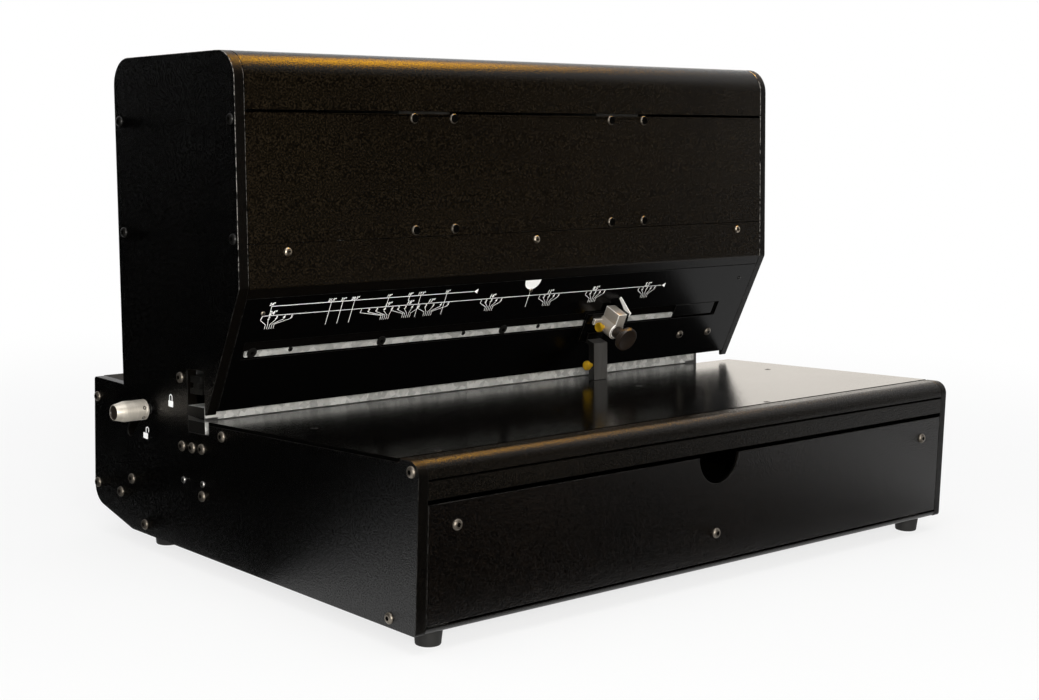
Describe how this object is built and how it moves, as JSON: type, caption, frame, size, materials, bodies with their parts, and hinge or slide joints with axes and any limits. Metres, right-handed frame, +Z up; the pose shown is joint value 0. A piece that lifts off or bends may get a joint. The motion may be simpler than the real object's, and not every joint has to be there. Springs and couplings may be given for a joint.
{
  "type": "paper punching machine",
  "caption": "Electric desk punch for wide paper, with a tilted table, tall head, slide-in die set, side guide on a scale and chip drawer.",
  "frame": {"origin": "on the floor, under the middle of the whole object", "axes": "+X to the right along the table's width, +Y to the back, +Z up"},
  "size_m": [0.7265, 0.5, 0.4607],
  "materials": {
    "powder_coat": "fine textured powder coat",
    "gloss_black": "smooth black paint",
    "zinc": "zinc plated",
    "steel": "ground steel",
    "black_oxide": "black oxide",
    "bright_knob": "turned",
    "brass": "turned",
    "bronze": "sintered",
    "grey_casting": "cast",
    "black_plastic": "moulded",
    "rubber": "matt"
  },
  "bodies": {
    "root": {"left_side_plate": "powder_coat", "right_side_plate": "powder_coat", "base_pan": "powder_coat", "rear_base_cover": "powder_coat", "feet": "rubber", "nose_bar": "powder_coat", "front_rail": "powder_coat", "table_plate": "gloss_black", "table_rear_bar": "steel", "die_bed": "steel", "die_back_rail": "steel", "die_stop": "steel", "chip_chute": "zinc", "drawer_runners": "zinc", "front_cross_plate": "powder_coat", "rear_cross_plate": "powder_coat", "front_plate_screws": "black_oxide", "head_top_cover": "powder_coat", "lower_cover": "powder_coat", "head_rear_cover": "powder_coat", "scale_panel": "gloss_black", "rail_support": "steel", "guide_rail": "zinc", "rail_end_block": "powder_coat", "bearing_blocks": "steel", "shaft_bushes": "bronze", "gearbox": "grey_casting", "drive_motor": "grey_casting", "return_springs": "steel", "control_housing": "zinc", "power_inlet": "black_plastic", "switch_housing": "black_plastic", "pedal_socket": "black_plastic", "lock_pivot": "zinc"},
    "drawer": {"drawer_front": "powder_coat", "drawer_tray": "zinc", "drawer_screws": "black_oxide"},
    "cam_drive": {"cam_shaft": "steel", "drive_cams": "steel"},
    "press_ram": {"ram": "steel", "cam_shoes": "steel", "guide_rods": "steel", "rod_collars": "steel"},
    "die_set": {"die_plate": "zinc", "die_spacers": "steel", "die_guide_plate": "zinc"},
    "pin_set": {"pin_bar": "steel", "punch_pins": "steel"},
    "side_guide": {"guide_carriage": "powder_coat", "guide_body": "steel", "guide_pointer": "steel", "guide_bar": "steel"},
    "clamp_knob": {"guide_knob": "black_plastic"},
    "boss_screw": {"boss_thumbscrew": "brass"},
    "bar_screw": {"bar_thumbscrew": "brass"},
    "die_lock": {"lock_lever": "steel", "lock_knob": "bright_knob"},
    "rocker": {"power_switch": "black_plastic"}
  },
  "joints": [
    {"name": "drawer_slide", "type": "slide", "parent": "root", "child": "drawer", "axis": [0, -1, 0], "range_m": [0, 0.28]},
    {"name": "cam_turn", "type": "hinge", "parent": "root", "child": "cam_drive", "pos_m": [0.02025, 0.07678, 0.35055], "axis": [1, 0, 0], "range_deg": [0, 180]},
    {"name": "ram_stroke", "type": "slide", "parent": "root", "child": "press_ram", "axis": [0, -0.0523, -0.9986], "range_m": [0, 0.01], "stiffness_N_per_m": 6000, "springref_m": -0.04, "deforming": ["return_springs"]},
    {"name": "die_slide", "type": "slide", "parent": "root", "child": "die_set", "axis": [-1, 0, 0], "range_m": [0, 0.62]},
    {"name": "pin_stroke", "type": "slide", "parent": "die_set", "child": "pin_set", "axis": [0, -0.0523, -0.9986], "range_m": [0, 0.01]},
    {"name": "guide_slide", "type": "slide", "parent": "root", "child": "side_guide", "axis": [1, 0, 0], "range_m": [-0.41, 0.09]},
    {"name": "clamp_knob_turn", "type": "hinge", "parent": "side_guide", "child": "clamp_knob", "pos_m": [0.13925, -0.00269, 0.18729], "axis": [0, -0.9166, -0.3998], "range_deg": [0, 360]},
    {"name": "boss_screw_turn", "type": "hinge", "parent": "side_guide", "child": "boss_screw", "pos_m": [0.12525, 0.01381, 0.19448], "axis": [-1, 0, 0], "range_deg": [0, 360]},
    {"name": "bar_screw_turn", "type": "hinge", "parent": "side_guide", "child": "bar_screw", "pos_m": [0.11525, 0.01937, 0.15474], "axis": [-1, 0, 0], "range_deg": [0, 360]},
    {"name": "lock_turn", "type": "hinge", "parent": "root", "child": "die_lock", "pos_m": [-0.30775, 0.1275, 0.075], "axis": [1, 0, 0], "range_deg": [-40, 0]},
    {"name": "switch_tip", "type": "hinge", "parent": "root", "child": "rocker", "pos_m": [0.21825, 0.2415, 0.085], "axis": [1, 0, 0], "range_deg": [0, 20]}
  ],
  "couplings": [
    {"joint": "ram_stroke", "follows": "cam_turn", "m_per_rad": 0.0031831},
    {"joint": "pin_stroke", "follows": "cam_turn", "m_per_rad": 0.0031831}
  ]
}
